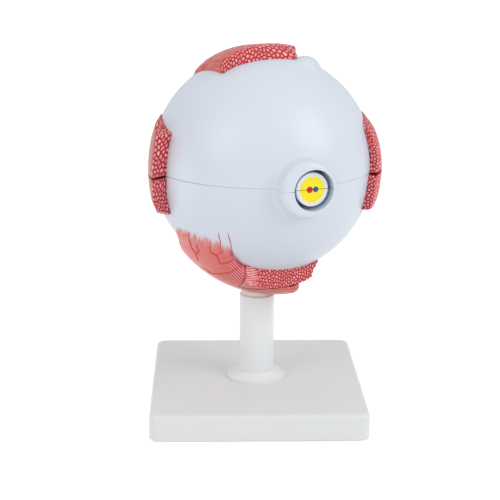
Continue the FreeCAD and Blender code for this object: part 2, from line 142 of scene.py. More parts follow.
class Shader(Nodes):
    """A Principled material."""

    def __init__(self, name, roughness, **sockets):
        self.material = bpy.data.materials.new(name)
        super().__init__(self.material)
        self.main = self.tree.nodes["Principled BSDF"].inputs
        self.main["Roughness"].default_value = roughness
        for key, value in sockets.items():
            self.main[key.replace("_", " ")].default_value = value

    def place(self):
        return self.node("TexCoord").outputs["Object"]

    def stretched(self, vector, scale):
        return self.node("Mapping", Vector=vector, Scale=scale).outputs["Vector"]

    def noise(self, scale, detail, roughness=0.5, vector=None):
        made = self.node("TexNoise", Vector=vector or self.place(), Scale=scale, Detail=detail,
                         Roughness=roughness)
        return made.outputs["Fac"]

    def attribute(self, name, output="Fac"):
        return self.node("Attribute", {"attribute_name": name}).outputs[output]

    def ramp(self, factor, *stops):
        made = self.node("ValToRGB", Fac=factor)
        elements = made.color_ramp.elements
        while len(elements) < len(stops):
            elements.new(0.5)
        for element, (position, colour) in zip(elements, stops):
            element.position = position
            element.color = colour
        return made.outputs["Color"]

    def mix(self, factor, first, second, blend="MIX"):
        made = self.node("Mix", {"data_type": "RGBA", "blend_type": blend})
        for i, value in ((0, factor), (6, first), (7, second)):
            self.put(made.inputs[i], value)
        return made.outputs[2]

    def spot(self, centre, radius, softness):
        """1 within a radius of a point, 0 outside it; millimetres about the ball's centre."""
        centre = (Vector(centre) + CENTRE) * MM
        far = self.node("VectorMath", {"operation": "DISTANCE"}, self.place(), centre)
        made = self.node("MapRange", {"interpolation_type": "SMOOTHSTEP"},
                         Value=far.outputs["Value"], From_Min=(radius - softness) * MM,
                         From_Max=(radius + softness) * MM, To_Min=1.0, To_Max=0.0)
        return made.outputs["Result"]

    def colour(self, value):
        self.put(self.main["Base Color"], value)

    def rough(self, factor, low, high):
        self.put(self.main["Roughness"], self.value(factor, low, high))

    def bump(self, height, distance, strength=1.0):
        made = self.node("Bump", Height=height, Strength=strength, Distance=distance)
        self.put(self.main["Normal"], made.outputs["Normal"])


def grained(name, light, dark, scale, roughness, bump, coat=0.0, metallic=0.0):
    """Slightly uneven colour and gloss, and a fine grain."""
    shader = Shader(name, roughness, Coat_Weight=coat, Coat_Roughness=0.12, Metallic=metallic)
    broad = shader.noise(scale / 12, 3)
    fine = shader.noise(scale, 3)
    shader.colour(shader.mix(shader.value(broad, 0.15, 0.85), rgb(*light), rgb(*dark)))
    shader.rough(fine, roughness - 0.06, roughness + 0.06)
    shader.bump(fine, bump)
    return shader.material


def clear(name, colour, ior, roughness, gloss):
    shader = Shader(name, roughness, Base_Color=rgb(*colour), IOR=ior, Transmission_Weight=1.0,
                    Specular_IOR_Level=gloss)
    shader.rough(shader.noise(60, 2), roughness * 0.6, roughness * 1.4)
    return shader.material


def muscle_material():
    """Cut face with pale cells in dark red borders; striped outer side; pale insertion. Painted shade
    darkens the lateral rectus beside the seam and on its outer side.
    """
    shader = Shader("muscle", 0.36, Coat_Weight=0.05, Coat_Roughness=0.2, Specular_IOR_Level=0.22)
    fibre = shader.attribute("fibre", "Vector")
    streak = shader.noise(1.5, 4, 0.6, shader.stretched(fibre, (0.06, 1.0, 0.8)))
    broad = shader.noise(0.9, 2, 0.5, shader.stretched(fibre, (0.10, 0.30, 0.30)))
    grain = shader.noise(1.6, 3, 0.6, fibre)
    cell = shader.attribute("cell")
    rough_cell = shader.math("ADD", cell, shader.value(grain, -0.14, 0.14))
    cut = shader.ramp(rough_cell, (0.08, rgb(116, 10, 20)), (0.24, rgb(186, 40, 50)),
                      (0.40, rgb(250, 112, 116)), (0.72, rgb(255, 186, 186)))
    # Per-cell tone, and painted shade beside the seam of the lateral rectus.
    cut = shader.mix(shader.value(shader.attribute("tint"), 0.0, 0.6), cut, rgb(196, 74, 80))
    side = shader.ramp(streak, (0.34, rgb(160, 58, 58)), (0.49, rgb(214, 108, 102)),
                       (0.66, rgb(232, 144, 136)))
    side = shader.mix(shader.value(broad, 0.0, 0.6), side, rgb(206, 100, 96))
    groove = shader.ramp(cell, (0.05, rgb(150, 66, 68)), (0.36, rgb(240, 218, 218)), (0.60, WHITE))
    side = shader.mix(shader.attribute("lines"), side, groove, "MULTIPLY")
    side = shader.mix(shader.attribute("calm"), side, rgb(225, 110, 101))
    red = shader.mix(shader.attribute("cut"), side, cut)
    # Painted shade on the outer side of the lateral rectus.
    red = shader.mix(shader.attribute("side_shade"), red, rgb(158, 58, 48))
    shader.colour(shader.mix(shader.attribute("pale"), red, SCLERA_LIGHT))
    shader.rough(grain, 0.22, 0.42)
    shader.bump(streak, 0.00012, 0.5)
    return shader.material


def sclera_material():
    """White shell, with painted light beside the lateral rectus and painted bluish shade in the bore
    round the nerve.
    """
    shader = Shader("sclera", 0.36, Coat_Weight=0.04, Coat_Roughness=0.15)
    broad = shader.noise(22, 3)
    fine = shader.noise(260, 3)
    base = shader.mix(shader.value(broad, 0.15, 0.85), SCLERA_LIGHT, SCLERA_DARK)
    # Painted light beside the lateral rectus, lifting the muscle's shade and red bounce on the ball.
    beside = shader.spot(PAINTED_LIGHT_PLACE, PAINTED_LIGHT_R, PAINTED_LIGHT_R)
    base = shader.mix(shader.value(beside, 0.0, 0.85), base, rgb(227, 243, 254))
    # Painted bluish shade on the walls of the bore round the nerve.
    bore = shader.spot(NERVE_AXIS * NERVE_FACE, BORE_R, 0.25)
    shader.colour(shader.mix(bore, base, rgb(186, 208, 224)))
    shader.rough(fine, 0.31, 0.43)
    shader.bump(fine, 0.00002)
    return shader.material


def retina_material():
    """Orange, with a darker yellow spot and the pale head of the nerve."""
    shader = Shader("retina", 0.36, Coat_Weight=0.15)
    broad = shader.noise(30, 4)
    fine = shader.noise(240, 4, 0.65)
    base = shader.mix(broad, rgb(232, 138, 84), rgb(212, 104, 62))
    base = shader.mix(shader.value(fine, 0.0, 0.5), base, rgb(240, 160, 104))
    for middle, radius, softness, colour in ((FOVEA, MACULA_R, 3.0, rgb(188, 74, 44)),
                                             (FOVEA, FOVEA_R, 0.6, rgb(120, 34, 24)),
                                             (NERVE_AXIS, NERVE_HEAD_R, 0.9, rgb(250, 214, 150))):
        base = shader.mix(shader.spot(middle * RETINA_IN, radius, softness), base, colour)
    shader.colour(base)
    shader.rough(fine, 0.28, 0.44)
    shader.bump(fine, 0.0001, 0.5)
    return shader.material


def choroid_material():
    """Brown with a net of fine veins, and a pale ring round the root of the nerve."""
    shader = Shader("choroid", 0.42, Coat_Weight=0.1)
    broad = shader.noise(24, 4)
    veins = shader.node("TexVoronoi", {"feature": "DISTANCE_TO_EDGE"}, shader.place(), Scale=190.0)
    net = shader.ramp(veins.outputs["Distance"], (0.02, rgb(150, 44, 36)), (0.12, rgb(92, 34, 26)))
    base = shader.mix(shader.value(broad, 0.1, 0.7), net, rgb(116, 50, 34))
    root = shader.spot(NERVE_AXIS * CHOROID_R, ROOT_R, 0.5)
    shader.colour(shader.mix(root, base, rgb(176, 198, 214)))
    shader.rough(broad, 0.34, 0.50)
    shader.bump(veins.outputs["Distance"], 0.0002, 0.4)
    return shader.material


def ciliary_material():
    """Dark ring with a pleat every few degrees."""
    shader = Shader("ciliary", 0.45)
    parts = shader.node("SeparateXYZ", None, shader.place())
    x = shader.math("SUBTRACT", parts.outputs["X"], CENTRE.x * MM)
    z = shader.math("SUBTRACT", parts.outputs["Z"], CENTRE.z * MM)
    angle = shader.math("ARCTAN2", z, x)
    wave = shader.math("SINE", shader.math("MULTIPLY", angle, CILIARY_FOLDS))
    fold = shader.value(shader.math("MULTIPLY_ADD", wave, 0.5), 0.25, 0.75)
    fine = shader.noise(500, 3)
    shader.colour(shader.mix(fold, rgb(58, 30, 22), rgb(134, 78, 54)))
    shader.rough(fine, 0.36, 0.54)
    shader.bump(fold, 0.0006, 0.8)
    return shader.material


def iris_material():
    """Blue folds, brownish round the pupil, with a dark rim inside and outside."""
    shader = Shader("iris", 0.34, Coat_Weight=0.3)
    ridge = shader.attribute("ridge")
    ring = shader.attribute("ring")
    fine = shader.noise(900, 3)
    shade = shader.math("ADD", ridge, shader.value(fine, -0.12, 0.12))
    cool = shader.ramp(shade, (0.15, rgb(44, 74, 108)), (0.50, rgb(92, 134, 170)),
                       (0.85, rgb(172, 202, 220)))
    warm = shader.ramp(shade, (0.20, rgb(110, 84, 52)), (0.80, rgb(192, 166, 116)))
    middle = shader.ramp(ring, (0.06, WHITE), (0.24, WHITE), (0.40, BLACK))
    base = shader.mix(middle, cool, warm)
    dark = shader.ramp(ring, (0.0, rgb(20, 14, 12)), (0.035, WHITE), (0.82, WHITE),
                       (0.97, rgb(50, 66, 88)))
    shader.colour(shader.mix(1.0, base, dark, "MULTIPLY"))
    shader.bump(fine, 0.00005)
    return shader.material


# ---- Meshes ----
VOXEL = 0.00045
SMOOTHINGS = 6


def smoothstep(low, high, x):
    t = np.clip((x - low) / (high - low), 0, 1)
    return t * t * (3 - 2 * t)


def radial(local):
    """Distance of each point from the ball's centre."""
    return np.linalg.norm(local, axis=1)


def read(rows, field):
    flat = np.empty(len(rows) * 3, np.float32)
    rows.foreach_get(field, flat)
    return flat.reshape(-1, 3).astype(float)


def vertices(mesh):
    return read(mesh.vertices, "co") / MM - np.array(CENTRE)


def set_vertices(mesh, local):
    flat = ((local + np.array(CENTRE)) * MM).astype(np.float32).ravel()
    mesh.vertices.foreach_set("co", flat)
    mesh.update()


def normals(mesh):
    return read(mesh.vertex_normals, "vector")


def add_attribute(mesh, name, values):
    kind, field = ("FLOAT_VECTOR", "vector") if values.ndim == 2 else ("FLOAT", "value")
    mesh.attributes.new(name, kind, "POINT").data.foreach_set(field, values.astype(np.float32).ravel())


def dress(obj, body, material, slot, *nodes):
    """Give a piece its material and body, and let it stand for CAD nodes. The slot is not used."""
    obj.data.materials.append(material)
    obj.data.shade_smooth()
    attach(obj, body)
    if nodes:
        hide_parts(*nodes)


def evaluated(obj):
    """An object's mesh with its modifiers or its bevel applied, in its place."""
    graph = bpy.context.evaluated_depsgraph_get()
    name, mesh = obj.name, bpy.data.meshes.new_from_object(obj.evaluated_get(graph))
    bpy.data.objects.remove(obj)
    return add(name, mesh)


def softened(node):
    """Copy of a CAD solid as an even mesh with its edges rounded."""
    obj = add(node + "_flesh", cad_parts[node].data.copy())
    obj.data.materials.clear()
    remesh = obj.modifiers.new("remesh", "REMESH")
    remesh.mode = "VOXEL"
    remesh.voxel_size = VOXEL
    smooth = obj.modifiers.new("smooth", "SMOOTH")
    smooth.factor = 0.5
    smooth.iterations = SMOOTHINGS
    return evaluated(obj)


def refine(mesh, chosen):
    """Cut each edge between chosen vertices in two."""
    bm = bmesh.new()
    bm.from_mesh(mesh)
    bm.verts.ensure_lookup_table()
    edges = [e for e in bm.edges if chosen[e.verts[0].index] and chosen[e.verts[1].index]]
    bmesh.ops.subdivide_edges(bm, edges=edges, cuts=1, use_grid_fill=True)
    bmesh.ops.triangulate(bm, faces=[f for f in bm.faces if len(f.verts) > 4])
    bm.to_mesh(mesh)
    bm.free()


def grid_solid(name, tops, bottoms, rows, columns):
    """Closed mesh between two grids of points."""
    count = len(tops)
    faces = []
    for i in range(rows):
        for j in range(columns):
            a = i * (columns + 1) + j
            quad = (a, a + 1, a + columns + 2, a + columns + 1)
            faces.append(quad)
            faces.append(tuple(count + k for k in reversed(quad)))
    last = rows * (columns + 1)
    rim = [*range(columns), *range(columns, last + columns, columns + 1)]
    rim += [*range(last + columns, last, -1), *range(last, 0, -columns - 1)]
    for a, b in zip(rim, rim[1:] + rim[:1]):
        faces.append((b, a, count + a, count + b))
    mesh = bpy.data.meshes.new(name)
    mesh.from_pydata([(Vector(p) + CENTRE) * MM for p in list(tops) + list(bottoms)], [], faces)
    bm = bmesh.new()
    bm.from_mesh(mesh)
    bmesh.ops.recalc_face_normals(bm, faces=bm.faces)
    bm.to_mesh(mesh)
    bm.free()
    return add(name, mesh)


def tube(name, paths, radius, body, material, slot, end_scale, start_scale=1.0):
    """Round threads through the given points, thinner towards their ends."""
    curve = bpy.data.curves.new(name, "CURVE")
    curve.dimensions = "3D"
    curve.bevel_depth = radius * MM
    curve.bevel_resolution = 2
    curve.use_fill_caps = True
    for path in paths:
        spline = curve.splines.new("NURBS")
        spline.points.add(len(path) - 1)
        for i, (point, place) in enumerate(zip(spline.points, path)):
            point.co = (*((Vector(place) + CENTRE) * MM), 1)
            share = i / (len(path) - 1)
            point.radius = (1 - (1 - end_scale) * share) * min(1.0, start_scale + 2.5 * share)
        spline.use_endpoint_u = True
        spline.order_u = spline.resolution_u = 3
    dress(evaluated(add(name, curve)), body, material, slot)


def rounded_path(points, parts=8):
    """Points on a smooth line through the given ones."""
    points = [Vector(p) for p in points]
    ends = [2 * points[0] - points[1]] + points + [2 * points[-1] - points[-2]]
    out = []
    for a, b, c, d in zip(ends, ends[1:], ends[2:], ends[3:]):
        for i in range(parts):
            t = i / parts
            out.append(0.5 * (2 * b + (c - a) * t + (2 * a - 5 * b + 4 * c - d) * t * t
                              + (3 * b - a - 3 * c + d) * t**3))
    return out + [points[-1]]


def surface_of(obj):
    return BVHTree.FromObject(obj, bpy.context.evaluated_depsgraph_get())


def surface_radius(tree, unit, level=0.0):
    """How far a surface is, in a direction, from the point at this level over the centre."""
    origin = Vector((0, 0, level)) + CENTRE
    hit = tree.ray_cast((unit * 1.4 * BALL_R + origin) * MM, -unit)[0]
    return (hit / MM - origin).length if hit else BALL_R


# ---- Cells and fibres ----
CELL_RISE = 0.42        # share of the spacing over which a cell rises from its border
FIBRE_SPACING = 1.3
CUT_DEPTH = 0.50        # depth of the grooves between the cells of a cut face
SIDE_DEPTH = 0.10       # and of those on the outer side
SIDE_COUNT = 0.06       # how much a step along the fibres of the outer side counts
BLEND = 2.2             # length over which cells turn into fibres


def spread_seeds(points, spacing, rng):
    """Points of a surface that keep about this distance from each other."""
    pool = points[rng.permutation(len(points))[:max(400, len(points) // 3)]]
    grid = {}
    kept = []
    reach = 0.68 * spacing
    around = [(i, j, k) for i in (-1, 0, 1) for j in (-1, 0, 1) for k in (-1, 0, 1)]
    for point in pool:
        key = tuple(int(c) for c in np.floor(point / reach))
        near = [p for a in around for p in grid.get(tuple(map(sum, zip(key, a))), ())]
        if all(math.dist(point, p) > reach for p in near):
            grid.setdefault(key, []).append(point)
            kept.append(point)
    return np.array(kept)


def cell_pattern(points, spacing, seed):
    """How far each point has risen from its cell's border, and a number for its cell."""
    rng = np.random.default_rng(seed)
    seeds = spread_seeds(points, spacing, rng)
    shades = rng.random(len(seeds))
    tree = kdtree.KDTree(len(seeds))
    for i, place in enumerate(seeds):
        tree.insert(place, i)
    tree.balance()
    edge = np.empty(len(points))
    shade = np.empty(len(points))
    for i, point in enumerate(points):
        (first, a, d1), (second, _, d2) = tree.find_n(point, 2)
        edge[i] = (d2 * d2 - d1 * d1) / (2 * (first - second).length)
        shade[i] = shades[a]
    return np.clip(edge / (CELL_RISE * spacing), 0, 1), shade


def wandering(values, step, seed):
    """Smooth random number from 0 to 1 that changes every step along the values."""
    rng = np.random.default_rng(seed)
    spots = np.arange(values.min() - step, values.max() + 2 * step, step)
    return np.interp(values, spots, rng.random(len(spots)))


def waves(values, spacing):
    return np.abs(np.sin(math.pi * values / spacing))


def along_edges(behind, values, step, window):
    """Coordinate that stays the same along a fibre as the muscle widens or thins."""
    count = int(behind.max() / step) + 2
    slots = np.clip((behind / step).astype(int), 0, count - 1)
    low = np.full(count, np.inf)
    high = np.full(count, -np.inf)
    np.minimum.at(low, slots, values)
    np.maximum.at(high, slots, values)
    known = np.flatnonzero(np.isfinite(low))
    kernel = np.ones(window) / window
    ends = []
    for edge in (low, high):
        filled = np.interp(np.arange(count), known, edge[known])
        smooth = np.convolve(np.pad(filled, window // 2, mode="edge"), kernel, mode="valid")
        ends.append((np.interp(behind / step - 0.5, np.arange(count), smooth), smooth[0]))
    (low_here, low_at_cut), (high_here, high_at_cut) = ends
    share = (values - low_here) / np.maximum(high_here - low_here, 0.5)
    return low_at_cut + share * (high_at_cut - low_at_cut)


# ---- The six stubs with a cut face ----
SKIN = 0.4              # points closer to the ball than this lie on a muscle's underside
FIRST_SEED = 40


def finish_muscle(obj, name, body, local, normal, drop, attributes):
    """Press the pattern into a muscle, keep it on the ball and store what its material reads."""
    inner = (radial(local) < BALL_R + 0.6) & (np.einsum("ij,ij->i", normal, local) < 0)
    local = local - normal * np.where(inner, 0, drop)[:, None]
    local *= (np.maximum(radial(local), BALL_R) / radial(local))[:, None]
    set_vertices(obj.data, local)
    for key, values in attributes.items():
        add_attribute(obj.data, key, values)
    dress(obj, body, MUSCLE, "muscle", name)


class Stub:
    """A cut muscle: its mesh, and fields over its points.

    behind and across are measured from the cut and along it. width and rise are where the fibre
    through a point meets the cut. run goes across the outer side and down its walls. A kind of
    stub gives its cut (the level direction that it faces, and its distance from the ball's
    centre), its front (where it is inserted, in radii of the ball), the spacing of its cells
    and how far they reach round the cut's edge.
    """

    body = "eyeball_upper"
    along_count = 1.0       # how much a step along or across counts for the cells; less makes
    across_count = 1.0      # them longer that way
    crowding = 0.0          # how fast they narrow towards the temple
    flank_from = math.inf   # height from which a side wall shows them too
    thinning = 0.8          # share of its height that is lost at the insertion, and how far
    thin_length = 10.0      # behind it that starts
    calm = 0.0              # how plain and how grooved its outer side is, and how much painted shade darkens it
    lines = 0.45
    wall_lines = 0.35       # how much more grooved its side walls are
    side_shade = 0.0

    def __init__(self, seed):
        self.seed = seed
        self.obj = softened(self.name)
        self.turn, depth = self.cut
        self.divide(depth)
        self.local, self.normal = vertices(self.obj.data), normals(self.obj.data)
        self.behind = depth - self.local @ self.turn
        self.across = self.breadth(self.local)
        self.wall = smoothstep(0.45, 0.85, np.abs(self.breadth(self.normal)))
        self.flank = self.wall * (self.local[:, 2] > self.flank_from)
        self.width = along_edges(self.behind, self.across, step=2.0, window=5)
        self.rise = along_edges(self.behind, self.height(), step=1.0, window=3)
        self.draw_cells()
        self.form()
        self.finish()

    def divide(self, depth):
        """Finer mesh on the cut face and as far round its edge as the cells reach."""
        local = vertices(self.obj.data)
        reach = self.far + 0.6 + 11.0 * (local[:, 2] > self.flank_from + 9)
        refine(self.obj.data, (depth - local @ self.turn < reach) & (radial(local) > BALL_R + SKIN))

    def breadth(self, vectors):
        """How far vectors reach across the muscle, towards the temple."""
        return vectors @ np.cross(self.turn, (0, 0, 1.0))

    def height(self):
        return radial(self.local) - BALL_R

    def foot(self, length=6.0):
        """1 on the cut, 0 this far behind it."""
        return smoothstep(length, 0.0, self.behind)

    def cell_reach(self):
        return self.far + 0 * self.behind

    def draw_cells(self):
        """Cells on the cut and round its edge, and behind a ragged line long fibres."""
        reach = self.cell_reach()
        past = np.maximum(self.behind - reach, 0)
        fade = BLEND + 4.0 * self.flank
        along = np.minimum(self.behind, reach) * self.along_count
        along += fade * (1 - np.exp(-past / fade)) + past * SIDE_COUNT
        spread = self.width * self.across_count + self.crowding * np.maximum(self.across - 2.0, 0)**2
        points = np.column_stack((along, spread, self.rise))
        self.cell, self.tint = cell_pattern(points, self.spacing, self.seed)
        deep = reach + 30.0 * self.flank
        ragged = self.behind + 0.35 * reach * (wandering(self.width, 1.3, self.seed + 5) - 0.5)
        self.cut_mask = 1 - smoothstep(0.8 * deep, 1.1 * deep + 1.2, ragged)
        outward = np.clip(6.0 * (self.width - self.width.mean()) / np.ptp(self.width), -1, 1)
        self.run = self.width + outward * (self.rise.max() - self.rise)
        points = np.column_stack((self.behind * SIDE_COUNT, self.run, 0 * self.run))
        fibres = cell_pattern(points, FIBRE_SPACING, self.seed + 20)[0]
        self.blend_in(fibres, smoothstep(deep + 0.3, deep + 3.5, self.behind))

    def blend_in(self, pattern, share):
        self.cell = self.cell * (1 - share) + pattern * share

    def from_insertion(self, unit):
        """Distance back from the front edge, an arc seen from above."""
        x, y, radius = self.front
        ahead = np.sqrt(np.maximum(radius**2 - (unit[:, 0] - x)**2, 0.01))
        return (y + ahead - unit[:, 1]) * ahead / radius * BALL_R

    def fade_into_tendon(self):
        """Pale and thin towards the insertion, where the muscle turns into white tendon."""
        front = self.from_insertion(self.local / radial(self.local)[:, None])
        uneven = wandering(self.run, 0.9, self.seed) - 0.5
        self.pale = 1 - smoothstep(0.5, 7.0, front + 1.6 * uneven)
        self.thin = self.thinning * smoothstep(self.thin_length, 0.5, front)

    def slide(self, distance):
        """Move points the way the cut faces, and keep their distance from the ball's centre."""
        moved = self.local + distance[:, None] * self.turn
        self.local = moved * (radial(self.local) / radial(moved))[:, None]

    def lean(self, table):
        """Bring the foot of the cut forwards by what the table says across the muscle."""
        distance = np.interp(self.across, *table) * np.clip(1 - self.height() / 7.0, 0, 1)
        self.slide(distance * self.foot(5.0))

    def finish(self):
        self.local *= (1 - self.thin * self.height() / radial(self.local))[:, None]
        side = 1 - self.cut_mask
        depths = CUT_DEPTH * self.cut_mask + SIDE_DEPTH * side
        drop = (1 - np.sqrt(self.cell)) * depths * (1 - self.pale)
        finish_muscle(self.obj, self.name, self.body, self.local, self.normal, drop, {
            "cell": self.cell, "tint": self.tint, "cut": self.cut_mask, "pale": self.pale,
            "calm": self.calm * side, "lines": (self.lines + self.wall_lines * self.wall) * side,
            "side_shade": self.side_shade * side * (1 - self.flank),
            "fibre": np.column_stack((self.behind, self.run, 0 * self.run))})


class SideStub(Stub):
    """Half of a stub that the ball's seam parts, with an upright insertion."""

    front_half = 0.42       # half the height of the insertion, in radii of the ball

    def breadth(self, vectors):
        return vectors[:, 2].copy()

    def from_insertion(self, unit):
        middle, end = self.front
        front = middle + (unit[:, 2] / self.front_half)**2 * (end - middle)
        back = np.clip(unit @ self.turn, -1, 1)
        return (np.arcsin(back) - np.arcsin(np.clip(front, -1, 1))) * BALL_R

    def form(self):
        """Groove along the seam, darkened there with painted shade, and a lower end that draws up off the
        ball.
        """
        self.cell *= smoothstep(0.15, 1.2, np.abs(self.across))
        share = smoothstep(0.20, 0.36, -self.across / BALL_R)
        self.local[:, 2] += self.seat * share * np.maximum(self.height(), 0)
        self.fade_into_tendon()


class Lateral(SideStub):
    cut = direction(48.0), -0.266 * BALL_R
    front = -0.976, -0.882
    far = 1.2
    seat = 0.42
    # Painted shade on its outer side.
    side_shade = 0.45

    def form(self):
        """Painted shade beside the seam."""
        self.tint = np.maximum(self.tint, smoothstep(5.0, 0.5, np.abs(self.across)))
        super().form()


class LateralUpper(Lateral):
    name = "lateral_rectus_upper"
    spacing = 2.7
    across_count = 0.80
    flank_from = 10
    thinning = 0.9
    thin_length = 13.0

    def form(self):
        """Lower at its upper end than the solid."""
        super().form()
        up = self.local[:, 2]
        self.local[:, 2] -= 1.4 * smoothstep(14, 30, self.behind) * smoothstep(18, 27, up)


class LateralLower(Lateral):
    name = "lateral_rectus_lower"
    body = "eyeball_lower"
    spacing = 2.0
    across_count = 0.62

    def form(self):
        """Foot of the cut drawn back towards its lower end."""
        super().form()
        self.slide(-1.3 * smoothstep(-2, -12, self.local[:, 2]) * self.foot())


class Medial(SideStub):
    cut = direction(-34.0), -0.167 * BALL_R
    front = -0.952, -0.846
    far = 17.0
    along_count = 0.7
    seat = 0.15
    slim = 0.08

    def form(self):
        """Slimmer than the solid, and with the foot of the cut moved."""
        super().form()
        up = self.local[:, 2]
        self.thin = np.maximum(self.thin, self.slim * smoothstep(-16.0, -6.0, up))
        self.slide(self.pull * smoothstep(0.0, 3.0, np.abs(up)) * self.foot())


class MedialUpper(Medial):
    name = "medial_rectus_upper"
    spacing = 2.15
    pull = -2.2             # how far the foot of the cut moves the way the cut faces
    # Upwards: the share of its height that it loses.
    tip = (16, 18, 22, 25, 26.6, 28.6, 31), (0, 0.07, 0.12, 0.3, 0.44, 0.58, 0.92)

    def fade_into_tendon(self):
        """Its tip also runs out thin, with pale strokes on the ball."""
        super().fade_into_tendon()
        up = self.local[:, 2]
        brush = wandering(up + 0.3 * self.behind, 0.6, self.seed)
        strokes = smoothstep(1.8, 0.4, self.height()) * smoothstep(20.5, 22.5, up)
        strokes *= smoothstep(29.0, 26.0, up)
        self.pale = np.maximum(self.pale, strokes * smoothstep(0.40, 0.8, brush))
        self.thin = np.maximum(self.thin, np.interp(up, *self.tip))
        self.cut_mask *= 1 - smoothstep(25.5, 30.0, up + brush)


class MedialLower(Medial):
    name = "medial_rectus_lower"
    body = "eyeball_lower"
    spacing = 2.1
    pull = 1.2


class Superior(Stub):
    name = "superior_rectus"
    cut = direction(24.6), 0.185 * BALL_R
    front = -0.16, -0.08, 0.55
    spacing = 2.7
    far = 7.0
    far_temple = 1.0        # how far the cells reach at its temple end
    across_count = 0.88
    crowding = 0.012
    calm = 0.5
    lines = 0.95
    wall_lines = 0.0
    # Across it: how far the foot of the cut comes forwards, and what height it loses.
    foot_forward = (-17, -15, -9, -3, 3.3, 9.5, 15.6, 22), (0.8, 1.6, 4.6, 5.2, 4.6, 3.6, 2.4, 0.4)
    tip = (24.0, 27.0, 29.0, 30.5, 31.5, 32.5), (0, 0.04, 0.14, 0.28, 0.5, 0.95)

    def cell_reach(self):
        return self.far_temple + (self.far - self.far_temple) * smoothstep(22, 7, self.across)

    def form(self):
        """Leaning nose end, a flatter middle and a thin temple end."""
        end = smoothstep(-2.0, -13.0, self.across) * (self.local[:, 1] < 4)
        self.local[:, 0] += end * (1.7 - 0.62 * self.height())
        flatter = 0.13 * self.foot(4.5)**2 + 0.15 * np.exp(-((self.across - 1.0) / 11.0)**2)
        self.local *= (1 - flatter * self.height() / BALL_R)[:, None]
        self.fade_into_tendon()
        tip = np.interp(self.across, *self.tip) * smoothstep(4, 18, self.behind)
        self.thin = np.maximum(self.thin, tip)
        self.lean(self.foot_forward)


class Inferior(Stub):
    name = "inferior_rectus"
    body = "eyeball_lower"
    cut = direction(24.8), 0.512 * BALL_R
    front = -0.01, 0.0, 0.54
    spacing = 1.95
    far = 1.2
    fibres_from = 18.8      # towards the temple it has level fibres beyond this, this far apart
    level_spacing = 1.35
    corner_from = -13.0     # its nose end is drawn in beyond this
    foot_forward = (-12, -6, 6, 14, 18), (0.5, 1.8, 2.2, 1.2, 0)

    def form(self):
        up = self.local[:, 2]
        level = up + 0.03 * self.across + 0.5 * wandering(self.across, 2.5, self.seed)
        ragged = self.across + 1.2 * np.sin(1.9 * up)
        start = self.fibres_from
        self.blend_in(waves(level, self.level_spacing), smoothstep(start - 1.5, start + 1.0, ragged))
        corner = np.maximum(self.corner_from - self.across, 0)
        drawn_in = 0.0011 * corner**2 * smoothstep(2, 6, self.height())
        self.local = self.local * (1 - drawn_in)[:, None]
        self.fade_into_tendon()
        self.lean(self.foot_forward)


# ---- Inferior oblique ----
OBLIQUE = "inferior_oblique"
# Height of its brushed upper edge, from the temple's side to the nose's.
OBLIQUE_TOP = ((-47, -40, -32, -20, -12), (-28.7, -28.9, -29.9, -33.6, -41.0))
OBLIQUE_FRONT = -6      # the edge is brushed behind this
OBLIQUE_FINE = -22      # and the mesh is finer behind this
STRIPE_SPACING = 1.75
STRIPES_TO = -11.3      # the stripes end here, at the inferior rectus
FLANK_TURN = np.array((0.747, -0.665, 0))
FLANK_FROM = 16.5       # its dark side towards the inferior rectus lies beyond this
LOBE_TOP = -50          # the lobe under the inferior rectus lies below this
LOBE_END = 24.2         # where it ends, and the radius of its corner
LOBE_ROUND = 8.0
LOBE_STRETCH = 1.7      # how much longer it is than the solid's
LOBE_FIBRES = 1.5
# Painted vessels: directions from the ball's centre.
VESSELS = {
    "left": ((-.643, -.597, -.480), (-.633, -.543, -.551), (-.614, -.460, -.641), (-.575, -.447, -.685),
             (-.566, -.412, -.714), (-.553, -.403, -.729), (-.552, -.348, -.758)),
    "left_twig": ((-.571, -.589, -.572), (-.574, -.551, -.606), (-.561, -.535, -.632),
                  (-.557, -.506, -.658), (-.575, -.447, -.685)),
    "middle": ((-.462, -.695, -.551), (-.462, -.640, -.614), (-.440, -.630, -.640), (-.405, -.639, -.654),
               (-.385, -.616, -.688), (-.363, -.588, -.722), (-.325, -.628, -.708), (-.291, -.665, -.688),
               (-.264, -.701, -.662)),
    "middle_twig": ((-.404, -.810, -.426), (-.395, -.791, -.468), (-.379, -.747, -.546),
                    (-.366, -.705, -.608), (-.405, -.639, -.654)),
    "edge": ((-.325, -.850, -.415), (-.301, -.809, -.505), (-.284, -.749, -.600), (-.270, -.724, -.634)),
    "arc": ((-.506, -.303, -.808), (-.463, -.325, -.824), (-.426, -.327, -.844), (-.384, -.393, -.836),
            (-.322, -.492, -.809), (-.280, -.546, -.789), (-.248, -.600, -.760), (-.221, -.647, -.730)),
}
VESSEL_R = 0.41
THIN_VESSELS = ("edge", "middle_twig")
THIN_VESSEL_R = 0.30
VESSEL_SINK = 0.06      # how deep a vessel's middle lies in the muscle


